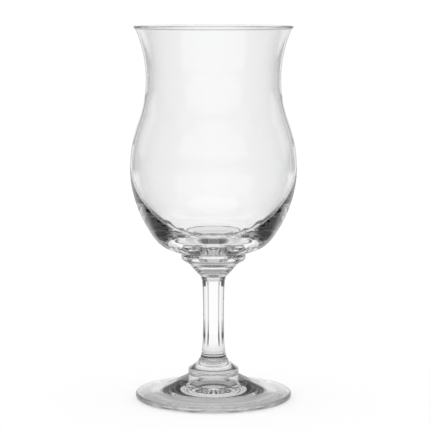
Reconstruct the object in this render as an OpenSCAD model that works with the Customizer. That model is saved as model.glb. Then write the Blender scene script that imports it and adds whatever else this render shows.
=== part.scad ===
// Hurricane glass, clear and footed, with a tulip bowl on a short stem.
//
// Every piece is turned about the Z axis, so each one is an outline of radius and
// height that is spun about that axis. The pieces are stacked face to face, foot
// first, the way the hot gathers of glass are joined: foot, lower collar, stem,
// upper collar and bowl. The origin is on the table, at the middle of the foot.
//
// The bowl's outer wall is a chain of arcs that meet without a corner. From the rim
// down: the flare, with its centre outside the glass, an S of two equal arcs from
// the waist to the belly, the long arc under the belly, and a tighter arc that ends
// in the flat seat. The cavity has a chain of its own below the belly, so that the
// wall thickens towards the floor, which is slightly dished.

/* [Bowl] */
// Height of the bowl, from its seat on the collar to the top of the rim
bowl_height = 112; // [104:1:118]
// Outer diameter at the belly, the widest place
belly_d = 82.7; // [76:0.1:90]
// Height of the belly above the seat
belly_height = 43.4; // [38:0.1:48]
// Outer diameter at the waist, the narrowest place
waist_d = 67.1; // [60:0.1:72]
// How far the waist lies below the rim
waist_below_rim = 26; // [18:1:32]
// How much further out the rim is than the waist
rim_flare = 5.9; // [3:0.1:8]
// Radius of the arc under the belly, seen from the side
belly_curve_r = 60; // [52:1:70]
// Radius of the arc that ends in the seat
base_curve_r = 18; // [14:0.1:20]
// Thickness of the wall from the belly up
wall = 1.1; // [0.8:0.1:1.8]
// Thickness of the fire-polished bead along the rim
rim_bead_d = 1.5; // [1.2:0.1:2.2]
// Thickness of glass under the floor of the cavity
floor_thickness = 4.3; // [3:0.1:6]
// How much longer the radius of the cavity's arc under the belly is than its depth there
cavity_curve_excess = 4.4; // [2:0.1:8]
// Radius of the cavity's tighter arc, beside its floor
cavity_base_r = 16; // [8:0.5:20]
// Radius of the dish of the cavity's floor
cavity_floor_r = 60; // [50:5:120]

/* [Upper collar] */
// Height of the collar, from the stem to the bowl
upper_collar_height = 11.5; // [9:0.5:14]
// Diameter of the ring that carries the bowl
upper_ring_d = 32; // [28:0.5:36]
// Thickness of that ring at its rounded edge
upper_ring_thickness = 3.2; // [2:0.1:4]
// Diameter where the ring's sloping underside meets the cone
upper_cone_d = 24; // [20:0.5:27]
// Height of the sloping underside, from the ring's edge to the cone
upper_slope_height = 2.4; // [1:0.1:3]

/* [Stem] */
// Height of the stem, between the two collars
stem_height = 43; // [35:1:50]
// Diameter of the stem at its slimmest
stem_d = 10.4; // [8:0.1:11.2]
// Diameter of the bead at the stem's top
stem_top_bead_d = 12.6; // [12.2:0.1:14]
// Thickness of the bead at the stem's top
stem_top_bead_thickness = 1.5; // [1:0.1:2.5]
// Height over which the top of the stem swells
stem_top_flare_height = 12; // [8:1:16]
// How much the radius has grown at the top of that swelling
stem_top_flare = 0.6; // [0.2:0.1:0.7]
// Diameter of the bead at the stem's foot
stem_foot_bead_d = 14.8; // [14:0.1:16]
// Thickness of the bead at the stem's foot
stem_foot_bead_thickness = 1.7; // [1:0.1:2.5]
// Height over which the foot of the stem spreads
stem_foot_flare_height = 12; // [8:1:16]
// How much the radius has grown at the bottom of that spread
stem_foot_flare = 1.6; // [0.8:0.1:1.7]

/* [Lower collar] */
// Height of the collar, from the foot to the stem
lower_collar_height = 6.7; // [5:0.1:9]
// Diameter of the ring that sits on the foot
lower_ring_d = 25.2; // [22:0.2:28]
// Thickness of that ring at its rounded edge
lower_ring_thickness = 3.3; // [2:0.1:4]

/* [Foot] */
// Diameter of the foot
foot_d = 77.8; // [70:0.2:84]
// Height of the foot in the middle, where the lower collar sits
foot_height = 11.8; // [9:0.1:15]
// Thickness of the foot at its edge
foot_edge = 3; // [2.4:0.1:4]
// Radius of the rounding on top of the foot's edge
foot_top_round = 1.1; // [0.8:0.1:1.4]
// Radius of the rounding under the foot's edge
foot_bottom_round = 1.2; // [0.3:0.1:1.4]
// Radius of the hollow sweep on top of the foot, seen from the side
foot_sweep_r = 72; // [50:1:120]
// Width of the flat ring on which the glass stands
foot_ring_width = 6.6; // [3:0.2:9]
// Height of the hollow under the foot, in the middle
foot_hollow = 4.2; // [2:0.1:6]

/* [Hidden] */
$fn = 180;
arc_steps = 12;
glass_colour = [0.86, 0.9, 0.92, 0.45];

// Heights of the seats, from the table up
lower_collar_z = foot_height;
stem_z = lower_collar_z + lower_collar_height;
upper_collar_z = stem_z + stem_height;
bowl_z = upper_collar_z + upper_collar_height;

// Heights of the rim, the waist and the belly
rim_z = bowl_z + bowl_height;
waist_z = rim_z - waist_below_rim;
belly_z = bowl_z + belly_height;

// The S between waist and belly: two equal arcs, each upright at its outer end
s_across = (belly_d - waist_d) / 2;
s_up = waist_z - belly_z;
s_r = (pow(s_across, 2) + pow(s_up, 2)) / (4 * s_across);
s_angle = asin(s_up / (2 * s_r));
s_waist_centre = [waist_d / 2 + s_r, waist_z];
s_belly_centre = [belly_d / 2 - s_r, belly_z];

// The flare above the waist, whose bead sits on the middle of the wall
flare_r = (pow(waist_below_rim, 2) + pow(rim_flare, 2)) / (2 * rim_flare);
flare_centre = [waist_d / 2 + flare_r, waist_z];
rim_middle_r = flare_r + wall / 2;
rim_angle = 180 - asin((waist_below_rim - rim_bead_d / 2) / rim_middle_r);

// Points along an arc, both ends included
function arc(centre, r, from, to, steps = arc_steps) =
    [for (i = [0:steps]) centre + r * [cos(from + (to - from) * i / steps), sin(from + (to - from) * i / steps)]];

// A list of arcs joined end to end, each joint given once
function chain(arcs) = concat(
    arcs[0],
    [for (k = [1:len(arcs) - 1]) for (i = [1:len(arcs[k]) - 1]) arcs[k][i]]);

// The two arcs of a side that starts upright at the radius x and the height top, turns
// at the radius r1 and then at r2, and ends level at the height bottom
function rounded_side(x, top, bottom, r1, r2) =
    let (
        reach = r1 - r2,
        drop = top - bottom - r2,
        centre_1 = [x - r1, top],
        centre_2 = centre_1 + [sqrt(pow(reach, 2) - pow(drop, 2)), -drop],
        turn = asin(drop / reach))
    [arc(centre_1, r1, 0, -turn, arc_steps * 2),
     arc(centre_2, r2, -turn, -90, arc_steps * 2)];

// The three arcs of a side that starts like the one above, and whose second arc runs
// into a dish of radius r3 with its lowest point on the axis, at the height bottom
function dished_side(x, top, bottom, r1, r2, r3) =
    let (
        centre_1 = [x - r1, top],
        centre_3 = [0, bottom + r3],
        apart = norm(centre_3 - centre_1),
        ahead = (centre_3 - centre_1) / apart,
        along = (pow(r1 - r2, 2) - pow(r3 - r2, 2) + pow(apart, 2)) / (2 * apart),
        aside = sqrt(pow(r1 - r2, 2) - pow(along, 2)),
        centre_2 = centre_1 + along * ahead + aside * [ahead.y, -ahead.x],
        turn_1 = angle_of(centre_2, centre_1),
        turn_2 = angle_of(centre_2, centre_3))
    [arc(centre_1, r1, 0, turn_1, arc_steps * 2),
     arc(centre_2, r2, turn_1, turn_2, arc_steps * 2),
     arc(centre_3, r3, turn_2, -90)];

// Centre of the arc of radius r that sags below the straight line from a to b
function sweep_centre(a, b, r) =
    let (half = (b - a) / 2, rise = sqrt(r * r - half * half))
    a + half + rise * [half.y, -half.x] / norm(half);

// Angle of the point p as seen from a centre
function angle_of(p, centre) = atan2(p.y - centre.y, p.x - centre.x);

// A flat disc with a half-round edge, as an outline beside the axis
module rounded_disc(d, thickness) {
    union() {
        square([d / 2 - thickness / 2, thickness]);
        translate([d / 2 - thickness / 2, thickness / 2])
            circle(d = thickness);
    }
}

// The arcs of the bowl's wall from the rim to the belly, at a depth below its outside
function upper_wall(depth) =
    [arc(flare_centre, flare_r + depth, rim_angle, 180, arc_steps * 2),
     arc(s_waist_centre, s_r + depth, 180, 180 + s_angle, arc_steps * 2),
     arc(s_belly_centre, s_r - depth, s_angle, 0, arc_steps * 2)];

// The outside comes down to the seat, and the cavity to its floor
module bowl_outline() {
    floor_z = bowl_z + floor_thickness;
    cavity_curve_r = belly_z - floor_z + cavity_curve_excess;
    outside = chain(concat(
        upper_wall(0),
        rounded_side(belly_d / 2, belly_z, bowl_z, belly_curve_r, base_curve_r)));
    cavity = chain(concat(
        upper_wall(wall),
        dished_side(belly_d / 2 - wall, belly_z, floor_z, cavity_curve_r, cavity_base_r, cavity_floor_r)));
    polygon(concat(
        [[0, bowl_z]],
        [for (i = [len(outside) - 1:-1:0]) outside[i]],
        cavity));
}

// The bead sits on the middle of the wall at the rim
module rim_bead_outline() {
    translate(flare_centre + rim_middle_r * [cos(rim_angle), sin(rim_angle)])
        circle(d = rim_bead_d);
}

module bowl() {
    color(glass_colour)
    rotate_extrude()
    union() {
        bowl_outline();
        rim_bead_outline();
    }
}

// The upper collar: a ring under the bowl, its sloping underside and a cone
module upper_collar() {
    ring_z = upper_collar_height - upper_ring_thickness;
    cone_top_z = ring_z - upper_slope_height;
    color(glass_colour)
    translate([0, 0, upper_collar_z])
    rotate_extrude()
    union() {
        translate([0, ring_z])
            rounded_disc(upper_ring_d, upper_ring_thickness);
        polygon([
            [0, 0],
            [stem_top_bead_d / 2, 0],
            [upper_cone_d / 2, cone_top_z],
            [(upper_ring_d - upper_ring_thickness) / 2, ring_z],
            [0, ring_z]]);
    }
}

// The stem: slim in the middle, swelling to a small bead at each end
module stem() {
    top_z = stem_height - stem_top_bead_thickness / 2;
    foot_z = stem_foot_bead_thickness / 2;
    top_r = (pow(stem_top_flare_height, 2) + pow(stem_top_flare, 2)) / (2 * stem_top_flare);
    foot_r = (pow(stem_foot_flare_height, 2) + pow(stem_foot_flare, 2)) / (2 * stem_foot_flare);
    top_centre = [stem_d / 2 + top_r, top_z - stem_top_flare_height];
    foot_centre = [stem_d / 2 + foot_r, foot_z + stem_foot_flare_height];
    color(glass_colour)
    translate([0, 0, stem_z])
    rotate_extrude()
    union() {
        rounded_disc(stem_foot_bead_d, stem_foot_bead_thickness);
        translate([0, stem_height - stem_top_bead_thickness])
            rounded_disc(stem_top_bead_d, stem_top_bead_thickness);
        polygon(concat(
            [[0, foot_z]],
            arc(foot_centre, foot_r, 180 + asin(stem_foot_flare_height / foot_r), 180),
            arc(top_centre, top_r, 180, 180 - asin(stem_top_flare_height / top_r)),
            [[0, top_z]]));
    }
}

// The lower collar: a ring on the foot and a cone up to the stem
module lower_collar() {
    color(glass_colour)
    translate([0, 0, lower_collar_z])
    rotate_extrude()
    union() {
        rounded_disc(lower_ring_d, lower_ring_thickness);
        polygon([
            [0, 0],
            [(lower_ring_d - lower_ring_thickness) / 2, 0],
            [(lower_ring_d - lower_ring_thickness) / 2, lower_ring_thickness],
            [stem_foot_bead_d / 2, lower_collar_height],
            [0, lower_collar_height]]);
    }
}

// The foot: a disc swept up to the collar, hollow underneath inside its flat ring
module foot() {
    edge_r = foot_d / 2;
    seat = [lower_ring_d / 2, foot_height];
    edge_top = [edge_r - foot_top_round, foot_edge];
    centre = sweep_centre(edge_top, seat, foot_sweep_r);
    top_round_centre = edge_top - [0, foot_top_round];
    bottom_round_centre = [edge_r - foot_bottom_round, foot_bottom_round];
    ring_inner_r = edge_r - foot_bottom_round - foot_ring_width;
    hollow_r = (pow(ring_inner_r, 2) + pow(foot_hollow, 2)) / (2 * foot_hollow);
    hollow_centre = [0, foot_hollow - hollow_r];
    color(glass_colour)
    rotate_extrude()
    polygon(concat(
        arc(hollow_centre, hollow_r, 90, 90 - asin(ring_inner_r / hollow_r)),
        arc(bottom_round_centre, foot_bottom_round, -90, 0),
        arc(top_round_centre, foot_top_round, 0, 90),
        arc(centre, foot_sweep_r, angle_of(edge_top, centre), angle_of(seat, centre)),
        [[0, foot_height]]));
}

foot();
lower_collar();
stem();
upper_collar();
bowl();
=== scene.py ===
# %% [markdown]
# # A hurricane glass in Blender
#
# This lesson dresses a packed CAD model of a clear, footed glass: a tulip bowl on a
# short stem with a collar at each end and a round foot. Clear glass has no colour of
# its own to paint. What the eye reads is the way its surfaces bend the white table and
# the dark room around it, so the lesson spends its care on three things: the outline,
# which is followed to a fraction of a millimetre, the surroundings that the glass
# bends, and the small marks that a used glass carries.

import bpy
import numpy as np
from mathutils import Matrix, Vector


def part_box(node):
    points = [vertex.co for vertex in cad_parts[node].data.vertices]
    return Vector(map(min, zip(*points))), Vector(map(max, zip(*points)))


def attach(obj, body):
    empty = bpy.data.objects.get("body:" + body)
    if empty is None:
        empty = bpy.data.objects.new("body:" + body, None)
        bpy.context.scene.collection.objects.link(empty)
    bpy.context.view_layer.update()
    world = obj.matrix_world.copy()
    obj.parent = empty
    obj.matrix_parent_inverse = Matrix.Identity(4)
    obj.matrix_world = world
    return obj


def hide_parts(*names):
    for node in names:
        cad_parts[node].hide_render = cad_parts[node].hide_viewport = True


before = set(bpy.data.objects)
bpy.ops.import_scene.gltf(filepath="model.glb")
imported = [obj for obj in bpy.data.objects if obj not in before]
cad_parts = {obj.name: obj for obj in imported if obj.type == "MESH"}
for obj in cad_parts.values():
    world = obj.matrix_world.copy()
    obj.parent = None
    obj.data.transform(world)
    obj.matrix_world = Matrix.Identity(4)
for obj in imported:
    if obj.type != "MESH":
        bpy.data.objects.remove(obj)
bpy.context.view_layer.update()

scene = bpy.context.scene
scene.view_settings.view_transform = "Standard"

# %% [markdown]
# ## The camera
#
# The photograph was taken from a little above with a long lens: the rim's ellipse is
# thin and the stem's sides stay parallel. The ellipses of the rim and the foot give the
# height and the tilt, and the difference between them gives the distance, 0.91 m. The
# glass stands slightly left of the middle, which a small lens shift repeats.

# %% Camera
camera_distance, camera_height = 0.911, 0.2015
tilt_down = 0.12
camera_data = bpy.data.cameras.new("camera")
camera_data.sensor_width = 36.0
camera_data.lens = 155.05
camera_data.shift_x = 0.0035
camera_data.clip_start = 0.01
camera = bpy.data.objects.new("camera", camera_data)
camera.location = (0.0, -camera_distance, camera_height)
camera.rotation_euler = (np.pi / 2 - tilt_down, 0.0, 0.0)
scene.collection.objects.link(camera)
scene.camera = camera
print("camera height", camera_height, "distance", camera_distance)

# %% [markdown]
# ## Outlines from arcs
#
# A blown and pressed glass is round about one axis, so a single outline of radius and
# height describes each piece, and turning it makes the surface. Two helpers draw the
# outlines. One gives the points of an arc. The other takes the corners of a
# broken line and rounds each of them with its own small radius, as a flame does to the
# edges of a hot gather. All outlines are in millimetres.

# %% Arcs
def arc(centre, radius, start, end, step=0.7):
    """Points on a circle: centre + radius (cos a, sin a) for angles a from start to end in
    radians, both ends included, at most one step in millimetres apart."""
    count = max(6, int(np.ceil(abs(end - start) * radius / step)))
    a = np.linspace(start, end, count + 1)
    return np.stack([centre[0] + radius * np.cos(a), centre[1] + radius * np.sin(a)], 1)


def angle_at(centre, point):
    """The angle in radians at which the point is seen from the centre."""
    return float(np.arctan2(point[1] - centre[1], point[0] - centre[0]))


print("a quarter circle of 10 mm has", len(arc((0, 0), 10, 0, np.pi / 2)), "points")

# %% Flame-rounded corners
corner_step = 0.15


def flame_rounded(corners):
    """Rounds a broken line of (radius, height, rounding) corners. Each corner with a
    rounding is replaced by the arc of that radius which touches both of its sides. It
    touches them at the rounding over tan(half the corner's angle) from the corner, and
    its centre lies at the rounding over sin(half the angle) from it."""
    points = np.array([c[:2] for c in corners], float)
    roundings = [c[2] for c in corners[1:-1]]
    line = [points[:1]]
    for here, before, after, rounding in zip(points[1:-1], points[:-2], points[2:], roundings):
        back = (before - here) / np.linalg.norm(before - here)
        ahead = (after - here) / np.linalg.norm(after - here)
        half = np.arccos(np.clip(back @ ahead, -1, 1)) / 2
        if rounding <= 0 or half > np.pi / 2 - 0.002:
            line.append(here[None])
            continue
        reach = rounding / np.tan(half)
        middle = (back + ahead) / np.linalg.norm(back + ahead)
        centre = here + middle * rounding / np.sin(half)
        first = angle_at(centre, here + back * reach)
        last = angle_at(centre, here + ahead * reach)
        turn = (last - first + np.pi) % (2 * np.pi) - np.pi
        line.append(arc(centre, rounding, first, first + turn, corner_step))
    line.append(points[-1:])
    return np.concatenate(line)


print("a rounded corner has", len(flame_rounded([(0, 0, 0), (10, 0, 1.5), (10, 10, 0)])), "points")

# %% [markdown]
# ## The heights where the gathers were joined
#
# The glass was put together from five gathers of hot glass, and the CAD model has one
# solid for each. Their boxes say at which heights they sit on each other. The outside of
# the whole glass is drawn once, from the hollow under the foot to the rim, and then cut
# at those heights, so that the light passes through the joints as if they were not
# there, as it does in the real one. Five outlines drawn apart could miss each other by a
# hair at a joint, and clear glass shows every such step as a line.

# %% Joint heights
node_names = ["foot", "lower_collar", "stem", "upper_collar", "bowl"]
seats = {name: 1000.0 * float(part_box(name)[0][2]) for name in node_names}
rim_height = 1000.0 * float(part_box("bowl")[1][2])
print("joint heights in mm", {name: round(z, 2) for name, z in seats.items()}, "rim", round(rim_height, 2))

# %% [markdown]
# ## Foot
#
# The foot is a pressed disc with a thin rounded edge. Its top sweeps up to the stem in
# one hollow curve, and underneath it is hollow like a shallow lens, so that only a flat
# ring touches the table. That hollow is what draws the bright ellipses in the foot. Both
# curves are true arcs, because a press tool is turned on a lathe.

# %% Foot sizes
foot_radius, foot_edge = 38.9, 3.0
edge_round_below, edge_round_above = 1.2, 1.1
ring_width, hollow_depth = 6.6, 4.2
sweep_radius = 72.0
sweep_start, sweep_rise = 2.0, 0.12
neck = (12.8, seats["lower_collar"] - 0.25)
print("foot", 2 * foot_radius, "mm across, swept up to", round(neck[1], 2), "mm")


# %% Foot outline
def foot_outside():
    """From the middle of the hollow underneath, out along a flat arc to the standing ring,
    round the edge, and up the sweep to the neck. The hollow's radius is (i i + d d) / (2 d)
    for a half-width i and a depth d. The sweep's centre lies outside and above, on the line
    that halves the sweep, one sweep radius from both of its ends."""
    inner = foot_radius - edge_round_below - ring_width
    hollow_radius = (inner ** 2 + hollow_depth ** 2) / (2 * hollow_depth)
    hollow_end = np.pi / 2 - np.arcsin(inner / hollow_radius)
    hollow = arc((0, hollow_depth - hollow_radius), hollow_radius, np.pi / 2, hollow_end)
    edge = flame_rounded([
        (inner, 0, 0),
        (foot_radius, 0, edge_round_below),
        (foot_radius, foot_edge, edge_round_above),
        (foot_radius - sweep_start, foot_edge + sweep_rise, 0)])
    start, end = edge[-1], np.array(neck)
    half = (end - start) / 2
    outwards = np.array([half[1], -half[0]]) / np.linalg.norm(half)
    centre = start + half + np.sqrt(sweep_radius ** 2 - half @ half) * outwards
    sweep = arc(centre, sweep_radius, angle_at(centre, start), angle_at(centre, end))
    return np.concatenate([hollow[:-1], edge[:-1], sweep])


widest = round(float(foot_outside()[:, 0].max()), 2)
print("foot outline", len(foot_outside()), "points, widest", widest, "mm")

# %% [markdown]
# ## Collars and stem
#
# Each collar is a round-edged ring with a cone, and the stem was drawn out between them:
# slim above the middle, wider at its foot, with a soft bead at each end where it was
# stuck on. A drawn stem has no exact curve, so it is a few corners with very large
# roundings, which melt into one line.

# %% Collar and stem outline
def collars_and_stem():
    """One broken line of (radius, height, rounding) corners, from the foot up to the bowl's
    seat, with each corner rounded by the flame. Heights are counted from the joints."""
    low, stem, high, bowl = (seats[name] for name in node_names[1:])
    lower_ring = [(*neck, 0), (12.1, low + 0.02, 0.25), (12.6, low + 0.5, 1.0), (12.6, low + 2.9, 1.3)]
    lower_cone = [(11.6, low + 3.55, 0.8), (9.05, low + 5.4, 3)]
    foot_bead = [(7.5, stem, 0.8), (7.45, stem + 0.9, 0.6), (6.55, stem + 1.8, 0.9)]
    stem_foot = [(6.05, stem + 3.7, 6), (5.65, stem + 6.9, 20), (5.3, stem + 12.5, 60)]
    stem_top = [(5.18, stem + 21.5, 60), (5.24, stem + 29.5, 60), (5.45, high - 6.0, 40)]
    top_swell = [(5.75, high - 2.1, 3), (6.2, high - 1.3, 0.5)]
    top_bead = [(6.3, high - 0.3, 0.5), (6.95, high + 0.1, 0.4)]
    upper_cone = [(12.0, high + 5.7, 1.4), (15.25, high + 7.85, 0.8)]
    upper_ring = [(16.0, bowl - 2.9, 0.5), (16.0, bowl - 1.0, 0.9)]
    bowl_seat = [(15.2, bowl, 0.25), (17.4, bowl + 0.18, 0)]
    lower_part = lower_ring + lower_cone + foot_bead + stem_foot
    upper_part = stem_top + top_swell + top_bead + upper_cone + upper_ring + bowl_seat
    return flame_rounded(lower_part + upper_part)


print("collars and stem", len(collars_and_stem()), "points")

# %% [markdown]
# ## Bowl
#
# The outer wall is a chain of arcs that meet without a corner: a flare at the rim, an S
# of two equal arcs from the waist to the belly, a long arc under the belly and a
# tighter one that ends level on the collar. The inner wall follows at an even 1.1 mm
# down to the belly, and then thickens towards the floor on arcs of its own, the last of
# which is a shallow dish. The rim was melted in a flame, so the wall ends in a bead
# slightly thicker than itself. Arcs that touch keep the highlights smooth, where a line
# of measured points would make them tremble.

# %% Bowl sizes
wall, bead_radius, swell_length = 1.1, 0.75, 0.7
belly_radius, waist_radius = 41.35, 33.55
waist_below_rim, flare = 26.0, 5.9
belly_height, waist_height = seats["bowl"] + 43.4, rim_height - waist_below_rim
belly_curve, base_curve = 60.0, 18.0
floor_height = seats["bowl"] + 4.3
cavity_curve, cavity_base, cavity_floor = 42.3, 12.5, 60.0
seat_edge = 18.2
fine_length, fine_step = 2.5, 0.2
print("belly at", round(belly_height, 1), "mm, waist at", round(waist_height, 1), "mm")


# %% Sides that end on a floor
def rounded_side(x, top, bottom, first, second):
    """Two arcs, upright at (x, top) and level at the bottom: the first radius turns until
    the second, whose centre lies one second radius above the bottom, takes over."""
    drop = top - bottom - second
    centre_1 = np.array([x - first, top])
    centre_2 = centre_1 + np.array([np.sqrt((first - second) ** 2 - drop ** 2), -drop])
    change = angle_at(centre_1, centre_2)
    return np.concatenate([arc(centre_1, first, 0, change)[:-1], arc(centre_2, second, change, -np.pi / 2)])


def dished_side(x, top, bottom, first, second, third):
    """Three arcs, upright at (x, top): like a rounded side, but the second arc runs into a
    dish, an arc of the third radius whose lowest point is on the axis at the bottom. The
    second centre is first - second from the first centre and third - second from the third.
    The point on the axis is left out."""
    centre_1, centre_3 = np.array([x - first, top]), np.array([0, bottom + third])
    apart = np.linalg.norm(centre_3 - centre_1)
    ahead = (centre_3 - centre_1) / apart
    along = ((first - second) ** 2 - (third - second) ** 2 + apart ** 2) / (2 * apart)
    aside = np.sqrt((first - second) ** 2 - along ** 2)
    centre_2 = centre_1 + along * ahead + aside * np.array([ahead[1], -ahead[0]])
    turns = [0, angle_at(centre_1, centre_2), angle_at(centre_3, centre_2), -np.pi / 2]
    centres, radii = (centre_1, centre_2, centre_3), (first, second, third)
    return np.concatenate([arc(c, r, a, b)[:-1] for c, r, a, b in zip(centres, radii, turns, turns[1:])])


underside = rounded_side(belly_radius, belly_height, seats["bowl"], belly_curve, base_curve)
print("the bowl's underside has", len(underside), "points")


# %% Upper wall
def upper_wall():
    """The outer wall from the belly to the rim as (points, outward directions, swelling).
    The S arcs have the radius (a a + u u) / (4 a) for a width a and a height u, and the
    flare (h h + f f) / (2 f) for a height h and an overhang f. The swelling grows over the
    last stretch with the square of the way, until the wall is as thick as the bead."""
    across, up = belly_radius - waist_radius, waist_height - belly_height
    s_radius = (across ** 2 + up ** 2) / (4 * across)
    s_angle = np.arcsin(up / (2 * s_radius))
    lower = arc((belly_radius - s_radius, belly_height), s_radius, 0, s_angle)
    upper = arc((waist_radius + s_radius, waist_height), s_radius, np.pi + s_angle, np.pi)
    flare_radius = (waist_below_rim ** 2 + flare ** 2) / (2 * flare)
    flare_centre = (waist_radius + flare_radius, waist_height)
    top_angle = np.pi - np.arcsin((waist_below_rim - bead_radius) / (flare_radius + wall / 2))
    fine_angle = top_angle + fine_length / flare_radius
    coarse = arc(flare_centre, flare_radius, np.pi, fine_angle)
    fine = arc(flare_centre, flare_radius, fine_angle, top_angle, fine_step)
    points = np.concatenate([lower[:-1], upper[:-1], coarse[:-1], fine])
    along = np.gradient(points, axis=0)
    along /= np.linalg.norm(along, axis=1)[:, None]
    outward = np.stack([along[:, 1], -along[:, 0]], 1)
    steps = np.linalg.norm(np.diff(points, axis=0), axis=1)
    distance = np.concatenate([[0], np.cumsum(steps)])
    way = np.clip((distance - distance[-1]) / swell_length + 1, 0, 1)
    return points, outward, way ** 2 * (bead_radius - wall / 2)


print("the upper wall has", len(upper_wall()[0]), "points")


# %% Bowl outlines
def bowl_outside():
    """From the seat's edge up to the bead: the underside, then the upper wall moved outward
    by its swelling."""
    points, outward, swell = upper_wall()
    side = underside[::-1]
    return np.concatenate([side[side[:, 0] > seat_edge][:-1], points + outward * swell[:, None]])


def bowl_inside():
    """Over the bead, a half circle about the middle of the wall's end, then down the upper
    wall moved inward by the wall and its swelling, and along the dished side to the axis."""
    points, outward, swell = upper_wall()
    middle = points[-1] - outward[-1] * wall / 2
    start = angle_at((0, 0), outward[-1])
    over = arc(middle, bead_radius, start, start + np.pi, corner_step)
    down = (points - outward * (wall + swell)[:, None])[::-1]
    curves = (cavity_curve, cavity_base, cavity_floor)
    side = dished_side(belly_radius - wall, belly_height, floor_height, *curves)
    return np.concatenate([over[1:-1], down[:-1], side, [[0, floor_height]]])


inside = bowl_inside()
up_from_floor = inside[int(np.argmax(inside[:, 1])):][::-1]
mean_radius = (up_from_floor[1:, 0] + up_from_floor[:-1, 0]) / 2
capacity = np.pi * float(np.sum(mean_radius ** 2 * np.diff(up_from_floor[:, 1]))) / 1000
print("the bowl holds", round(capacity), "ml to the brim")
print("rim height", round(float(inside[:, 1].max()), 2), "mm")

# %% [markdown]
# ## Turning and cutting the glass
#
# The three stretches are joined into one outside line, which is cut at the joint
# heights. Each piece gets a flat disc where it meets its neighbour, which closes it. The
# disc carries a second material that lets light straight through, because there is no
# air between two fused gathers. A Screw modifier could turn the line. Here turning is
# worked out as one grid of points, which gives even rings, no seam and two clean poles.

# %% Cut the outside line
nearest = 0.01
outside = np.concatenate([foot_outside()[:-1], collars_and_stem()[:-1], bowl_outside()])
moved_on = np.linalg.norm(np.diff(outside, axis=0), axis=1) > nearest
outside = outside[np.concatenate([[True], moved_on])]


def crossing(height):
    """The index of the last point before the outside first climbs past a height."""
    z = outside[:, 1]
    return int(np.argmax((z[1:] >= height) & (z[:-1] < height)))


def point_at(height):
    """The point of the outside at a height, on the straight line between two of its points."""
    here, ahead = outside[crossing(height)], outside[crossing(height) + 1]
    share = (height - here[1]) / (ahead[1] - here[1])
    return np.array([here[0] + share * (ahead[0] - here[0]), height])


def between(low, high):
    """The stretch of the outside from one height to the next, with a point worked out on
    each cut and no other point right beside it. None stands for the outside's own end."""
    first = 0 if low is None else crossing(low) + 1
    last = len(outside) if high is None else crossing(high) + 1
    line = outside[first:last]
    if low is not None:
        start = point_at(low)
        line = np.concatenate([[start], line[np.linalg.norm(line - start, axis=1) > nearest]])
    if high is not None:
        end = point_at(high)
        line = np.concatenate([line[np.linalg.norm(line - end, axis=1) > nearest], [end]])
    return line


def closed(line, below, above):
    """Adds the point on the axis that closes a cut end."""
    if below:
        line = np.concatenate([[[0, line[0, 1]]], line])
    if above:
        line = np.concatenate([line, [[0, line[-1, 1]]]])
    return line


print("outside line", len(outside), "points")

# %% Points and faces of a turned line
segments = 240
on_axis = 1e-9


def turned_points(line):
    """Turns a line about Z: the point (r, z) at the angle t becomes (r cos t, r sin t, z). The
    rings come first, and then one vertex for each end of the line, on the axis."""
    rings = line[line[:, 0] > on_axis]
    t = 2 * np.pi * np.arange(segments) / segments
    height = np.repeat(rings[:, 1:], segments, 1)
    grid = np.stack([rings[:, :1] * np.cos(t), rings[:, :1] * np.sin(t), height], -1)
    poles = [[0, 0, line[0, 1]], [0, 0, line[-1, 1]]]
    return np.concatenate([grid.reshape(-1, 3), poles])


def turned_faces(rings):
    """The quads between neighbouring rings, the fan of triangles round the first pole and the
    one round the last. Vertex j of a ring meets vertex k, the next one round."""
    j = np.arange(segments)
    k = (j + 1) % segments
    i = segments * np.arange(rings - 1)[:, None]
    quads = np.stack([i + j, i + k, i + segments + k, i + segments + j], -1).reshape(-1, 4)
    first_pole = np.full(segments, rings * segments)
    last_ring = (rings - 1) * segments
    first_fan = np.stack([first_pole, k, j], -1)
    last_fan = np.stack([first_pole + 1, last_ring + j, last_ring + k], -1)
    return quads, first_fan, last_fan


print("two rings have", sum(len(faces) for faces in turned_faces(2)), "faces, both fans included")


# %% Turn an outline
def mark_sharp(mesh, rings, first, last):
    """Marks the edges of the first and of the last ring as sharp, where a cut disc meets the
    glass: both ends of such an edge lie on that ring."""
    ends = np.zeros(2 * len(mesh.edges), np.int32)
    mesh.edges.foreach_get("vertices", ends)
    ring = ends.reshape(-1, 2) // segments
    sharp = ((ring == 0).all(1) & first) | ((ring == rings - 1).all(1) & last)
    mesh.attributes.new("sharp_edge", "BOOLEAN", "EDGE").data.foreach_set("value", sharp)


def turned(name, line, cut_below, cut_above):
    """The piece that an outline in millimetres makes when it is turned about Z. The faces of
    a cut disc get the second material slot, and its edge is marked sharp."""
    points = turned_points(line / 1000.0)
    rings = len(points) // segments
    quads, first_fan, last_fan = turned_faces(rings)
    mesh = bpy.data.meshes.new(name)
    mesh.from_pydata(points.tolist(), [], quads.tolist() + first_fan.tolist() + last_fan.tolist())
    mesh.polygons.foreach_set("use_smooth", np.ones(len(mesh.polygons), bool))
    slots = np.zeros(len(mesh.polygons), np.int32)
    slots[len(quads):len(quads) + segments] = int(cut_below)
    slots[len(quads) + segments:] = int(cut_above)
    mesh.polygons.foreach_set("material_index", slots)
    mark_sharp(mesh, rings, cut_below, cut_above)
    mesh.update()
    piece = bpy.data.objects.new(name, mesh)
    scene.collection.objects.link(piece)
    print(name, "rings", rings, "triangles", 2 * len(quads) + 2 * segments)
    return piece


# %% Make the pieces
heights = [None] + [seats[name] for name in node_names[1:]] + [None]
pieces = {}
for name, low, high in zip(node_names, heights[:-1], heights[1:]):
    cut_below, cut_above = low is not None, high is not None
    line = between(low, high)
    if name == "bowl":
        line = np.concatenate([line, inside])
    pieces[name] = turned("glass_" + name, closed(line, cut_below, cut_above), cut_below, cut_above)

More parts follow.
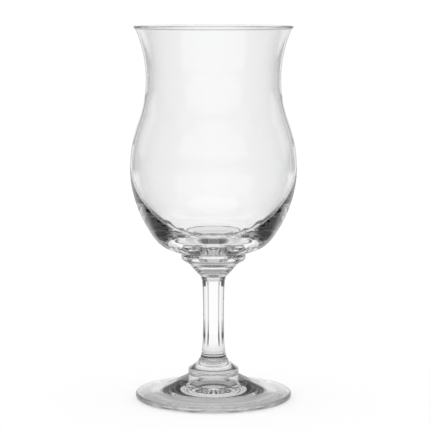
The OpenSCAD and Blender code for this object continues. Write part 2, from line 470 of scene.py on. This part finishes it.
# %% [markdown]
# ## Shader maths as Python
#
# Node trees are easier to read as formulas. This class wraps a socket, and the usual
# operators on it add a Math node. Every other node comes from one method, which sets the
# node's own settings first and then the values or links of its sockets.

# %% A small language for nodes
class Wire:
    """A socket of a node tree, with arithmetic."""

    def __init__(self, tree, socket):
        self.tree, self.socket = tree, socket

    def node(self, kind, settings=None, **inputs):
        """Makes a node. An input is named as on the node, with _ for a space, or i and its
        number."""
        made = self.tree.nodes.new(kind)
        for key, value in (settings or {}).items():
            setattr(made, key, value)
        for key, value in inputs.items():
            index = int(key[1:]) if key[0] == "i" and key[1:].isdigit() else key.replace("_", " ")
            if isinstance(value, Wire):
                self.tree.links.new(value.socket, made.inputs[index])
            else:
                made.inputs[index].default_value = value
        return made

    def out(self, made, key=0):
        return Wire(self.tree, made.outputs[key])

    def maths(self, operation, *values, clamp=False):
        inputs = {f"i{k}": value for k, value in enumerate(values)}
        return self.out(self.node("ShaderNodeMath", {"operation": operation, "use_clamp": clamp}, **inputs))

    def __add__(self, other):
        return self.maths("ADD", self, other)

    def __radd__(self, other):
        return self.maths("ADD", other, self)

    def __sub__(self, other):
        return self.maths("SUBTRACT", self, other)

    def __rsub__(self, other):
        return self.maths("SUBTRACT", other, self)

    def __mul__(self, other):
        return self.maths("MULTIPLY", self, other)

    def __rmul__(self, other):
        return self.maths("MULTIPLY", other, self)

    def __pow__(self, other):
        return self.maths("POWER", self, other)

    def step(self, low, high):
        """0 below low, 1 above high and a straight ramp between."""
        return self.maths("MULTIPLY_ADD", self, 1 / (high - low), -low / (high - low), clamp=True)

    def graph(self, *points):
        """The broken line through (x, value) points, from x = 0 to the last x."""
        end = points[-1][0]
        made = self.node("ShaderNodeValToRGB", Fac=self * (1 / end))
        elements = made.color_ramp.elements
        for x, value in points[1:-1]:
            elements.new(x / end).color = (value, value, value, 1)
        elements[0].color = (*[points[0][1]] * 3, 1)
        elements[-1].color = (*[points[-1][1]] * 3, 1)
        return self.out(made, "Color")


def blank(tree):
    """Empties a tree and returns a wire that can make nodes in it."""
    tree.nodes.clear()
    return Wire(tree, None)


print("a wire knows", [name for name, value in vars(Wire).items() if callable(value)])

# %% [markdown]
# ## Clear glass
#
# The glass is a Principled shader with full transmission and the refractive index of
# soda-lime glass. A Glass shader would bend the light in the same way, but a Principled
# one can also be exported. Three things keep it from looking like a formula: the wall is
# not quite even, as blown glass never is, which a very shallow bump repeats; the
# faintest grey-green cast comes and goes with the same slow noise; and the ring on which
# the glass has been set down again and again is scuffed matt.

# %% Glass material
worn_from, worn_to = 0.00002, 0.0004
unevenness = 0.00001
wave_scale, scratch_scale, scuff_scale = 38.0, 900.0, 2600.0
cast, clear = (0.994, 0.998, 0.997, 1), (1.0, 1.0, 1.0, 1)
glass = bpy.data.materials.new("clear_glass_look")
glass.use_nodes = True
w = blank(glass.node_tree)
place = w.out(w.node("ShaderNodeTexCoord"), "Object")
height = w.out(w.node("ShaderNodeSeparateXYZ", i0=place), "Z")
stretched = w.out(w.node("ShaderNodeMapping", Vector=place, Scale=(1.0, 1.0, 0.35)))
slow = w.out(w.node("ShaderNodeTexNoise", Vector=stretched, Scale=wave_scale, Detail=1.0), "Fac")
fine_noise = w.node("ShaderNodeTexNoise", Vector=place, Scale=scratch_scale, Detail=3.0, Roughness=0.6)
fine = w.out(fine_noise, "Fac")
scuffs = w.out(w.node("ShaderNodeTexNoise", Vector=place, Scale=scuff_scale, Detail=2.0), "Fac")
worn = (1 - height.step(worn_from, worn_to)) * scuffs.step(0.35, 0.6)
tint = w.node("ShaderNodeMix", {"data_type": "RGBA"}, i0=slow.step(0.3, 0.7), i6=cast, i7=clear)
bump = w.node("ShaderNodeBump", Strength=1.0, Distance=unevenness, Height=slow + worn * fine * 0.5)
surface = w.node(
    "ShaderNodeBsdfPrincipled", Base_Color=w.out(tint, 2), Roughness=worn * 0.35, IOR=1.52,
    Transmission_Weight=1.0, Normal=w.out(bump))
w.node("ShaderNodeOutputMaterial", Surface=w.out(surface))
print("glass nodes", len(glass.node_tree.nodes))

# %% [markdown]
# ## Fused joint
#
# Where two gathers were joined hot there is no surface left to see. Pieces left open
# there would be broken shells, and plain glass discs would mirror like a crack. So the
# discs that close them are fully transparent, and light goes on inside the glass.

# %% Joint material
joint = bpy.data.materials.new("fused_joint_look")
joint.use_nodes = True
w = blank(joint.node_tree)
surface = w.node(
    "ShaderNodeBsdfPrincipled", Base_Color=(1, 1, 1, 1), Roughness=0.0, Transmission_Weight=1.0, Alpha=0.0)
w.node("ShaderNodeOutputMaterial", Surface=w.out(surface))
print("joint nodes", len(joint.node_tree.nodes))

# %% Dress the pieces
for name, piece in pieces.items():
    piece.data.materials.append(glass)
    piece.data.materials.append(joint)
    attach(piece, "root")
    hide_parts(name)
print("dressed", sorted(pieces))

# %% [markdown]
# ## The table
#
# The photograph's table and backdrop are one white sweep with no edge. A wide disc
# stands for it. Seen straight, its white is partly reflected light, which keeps the
# soft shadow of the glass, and partly its own.

# %% Floor
floor_drop = 0.0002


def disc(name, radii, z):
    """Rings of a flat disc: the point at the radius r and the angle t is (r cos t, r sin t, z)."""
    count = 96
    t = 2 * np.pi * np.arange(count) / count
    level = np.full((len(radii), count), z)
    grid = np.stack([np.outer(radii, np.cos(t)), np.outer(radii, np.sin(t)), level], -1)
    i, j = np.meshgrid(np.arange(len(radii) - 1) * count, np.arange(count), indexing="ij")
    k = (j + 1) % count
    quads = np.stack([i + j, i + count + j, i + count + k, i + k], -1).reshape(-1, 4)
    middle = np.full(count, len(radii) * count)
    fan = np.stack([middle, np.arange(count), (np.arange(count) + 1) % count], -1)
    mesh = bpy.data.meshes.new(name)
    mesh.from_pydata(grid.reshape(-1, 3).tolist() + [[0, 0, z]], [], quads.tolist() + fan.tolist())
    made = bpy.data.objects.new(name, mesh)
    scene.collection.objects.link(made)
    return made


floor = disc("floor", np.array([0.05, 0.2, 1.0, 5.0, 30.0]), -floor_drop)
print("floor faces", len(floor.data.polygons))

# %% [markdown]
# ## The cards around the glass
#
# A clear glass in front of plain white has no edges, so a photographer stands black
# cards and white sheets around it, outside the picture. The glass bends them into dark
# lines along its walls and into the dark patches in its thick base. Real cards would
# show in the other views, so they are drawn as a pattern of grey levels on the table
# that only light which has met the glass can see. The pattern is a set of graphs over
# the angle from straight behind the glass, the same to the left and to the right, one
# graph for each range of distances. Straight behind there is white with one narrow card
# on each side, then a white sheet. The sides are dark, and the front is paler again.
# Under the foot the pattern carries a painted shade of the glass, deepest behind its middle.

# %% What the glass sees on the table
def met_glass(w):
    """1 for rays that have been bent or mirrored by the glass, 0 for all others."""
    rays = w.node("ShaderNodeLightPath")
    return w.maths("MAXIMUM", w.out(rays, "Is Glossy Ray"), w.out(rays, "Is Transmission Ray"))


def side_angle(w, x, y):
    """The angle in degrees between the direction (x, y) and straight behind, 0 to 180."""
    return w.maths("ABSOLUTE", w.maths("ARCTAN2", x, y)) * (180 / np.pi)


paper = bpy.data.materials.new("white_sweep")
paper.use_nodes = True
w = blank(paper.node_tree)
spot = w.node("ShaderNodeSeparateXYZ", i0=w.out(w.node("ShaderNodeTexCoord"), "Object"))
x, y = w.out(spot, "X"), w.out(spot, "Y")
away = (x * x + y * y) ** 0.5
angle = side_angle(w, x, y)
# Painted shade: the shadow of the glass on the table under and around the foot, drawn only for light that has
# met the glass.
painted_shade_under_foot = away.graph(
    (0, 0.5), (0.026, 0.5), (0.036, 0.95), (0.039, 0.95),
    (0.045, 0.7), (0.055, 0.7), (0.065, 0.85), (0.09, 0.85))
# The pattern is darker in front of the foot, and the painted shade is deepest behind the middle.
before_foot = angle.step(125, 135) * away.step(0.038, 0.042)
painted_shade_behind_middle = (1 - angle.step(35, 90)) * (1 - away.step(0.022, 0.036))
painted_shade_under_foot = painted_shade_under_foot * (1 - 0.8 * before_foot) * (1 - 0.85 * painted_shade_behind_middle)
close = angle.graph(
    (0, 1.0), (17, 1.0), (19, 0.05), (23, 0.05), (25, 1.0), (33, 1.0), (43, 0.1), (95, 0.1),
    (112, 0.5), (140, 0.5), (150, 0.8), (180, 0.8))
middle = angle.graph(
    (0, 1.0), (17, 1.0), (19, 0.6), (23, 0.6), (25, 1.0), (35, 1.0), (38, 0.9), (51, 0.9),
    (62, 0.1), (76, 0.1), (90, 0.2), (104, 0.2), (124, 0.3), (130, 0.85), (180, 0.85))
distant = angle.graph(
    (0, 1.0), (17, 1.0), (19, 0.4), (23, 0.4), (25, 1.0), (29, 1.0), (32, 0.3), (38, 0.1),
    (98, 0.1), (120, 0.15), (150, 0.6), (180, 0.6))
first, second, third = away.step(0.08, 0.11), away.step(0.15, 0.21), away.step(0.7, 1.0)
seen = painted_shade_under_foot * (1 - first) + close * (first - second) + middle * (second - third) + distant * third
print("pattern nodes", len(paper.node_tree.nodes))

# %% White sweep material
reflected, own_light = 0.45, 0.58
through = met_glass(w)
direct = 1 - through
grey = reflected * direct
colour = w.out(w.node("ShaderNodeCombineColor", i0=grey, i1=grey, i2=grey))
diffuse = w.node("ShaderNodeBsdfDiffuse", Color=colour)
shine = w.node("ShaderNodeEmission", Color=(1, 1, 1, 1), Strength=own_light * direct + seen * through)
both = w.node("ShaderNodeAddShader", i0=w.out(diffuse), i1=w.out(shine))
w.node("ShaderNodeOutputMaterial", Surface=w.out(both))
floor.data.materials.append(paper)
print("floor nodes", len(paper.node_tree.nodes))

# %% [markdown]
# ## The room
#
# The camera sees plain white above the table. Light that has met the glass sees a dark
# room instead: a low glow straight behind, where the white sweep rises, a broad soft
# light high behind the glass, a soft front, and a broad light high in front. The
# darkness between them is what the thick bottom of the bowl gathers into its two dark
# patches. The low glow is a graph over the angle from straight behind, and the others
# are graphs over the height above the horizon, both in degrees.

# %% World
world = bpy.data.worlds.new("studio")
scene.world = world
world.use_nodes = True
w = blank(world.node_tree)
direction = w.node("ShaderNodeSeparateXYZ", i0=w.out(w.node("ShaderNodeTexCoord"), "Generated"))
angle = side_angle(w, w.out(direction, "X"), w.out(direction, "Y"))
rise = w.maths("ARCSINE", w.out(direction, "Z")) * (180 / np.pi)
low_glow = angle.graph((0, 0.8), (23, 0.8), (25, 0.25), (35, 0.25), (38, 0.03), (180, 0.03))
low_glow = low_glow * (1 - rise.step(16, 18))
overhead = [(56, 0.56), (65, 0.56), (67, 0.2), (77, 0.2), (79, 0.02), (90, 0.02)]
behind = rise.graph(
    (0, 0.0), (16, 0.0), (18, 0.35), (29, 0.35), (31, 0.1), (37, 0.1), (39, 0.48), (54, 0.48), *overhead)
wings = rise.graph((0, 0.0), (16, 0.0), (18, 0.08), (37, 0.08), (39, 0.68), (54, 0.68), *overhead)
beside = 0.02
soft_front = 0.4 * angle.step(110, 170) * (1 - rise.step(52, 56))
high_front = rise.graph((0, 0.0), (54, 0.0), (56, 1.0), (65, 1.0), (67, 0.8), (90, 0.8))
before = soft_front + high_front
first, second, third = angle.step(23, 25), angle.step(53, 55), angle.step(98, 102)
room = low_glow + behind * (1 - first) + wings * (first - second) + beside * (second - third) + before * third
through = met_glass(w)
light = w.node("ShaderNodeBackground", Color=(1, 1, 1, 1), Strength=through * room + (1 - through))
w.node("ShaderNodeOutputWorld", Surface=w.out(light))
print("room nodes", len(world.node_tree.nodes))

# %% [markdown]
# ## Enough bounces
#
# A ray that crosses the bowl's thick base and both collars is bent many times. With
# Blender's usual limits it would stop early and leave black specks.

# %% Bounces
cycles = scene.cycles
cycles.max_bounces = 32
cycles.transmission_bounces = 32
cycles.glossy_bounces = 16
cycles.transparent_max_bounces = 32
print("a ray may be bent", cycles.transmission_bounces, "times")

# %% [markdown]
# ## Sizes
#
# The dressed glass has to fill the same box as the CAD model.
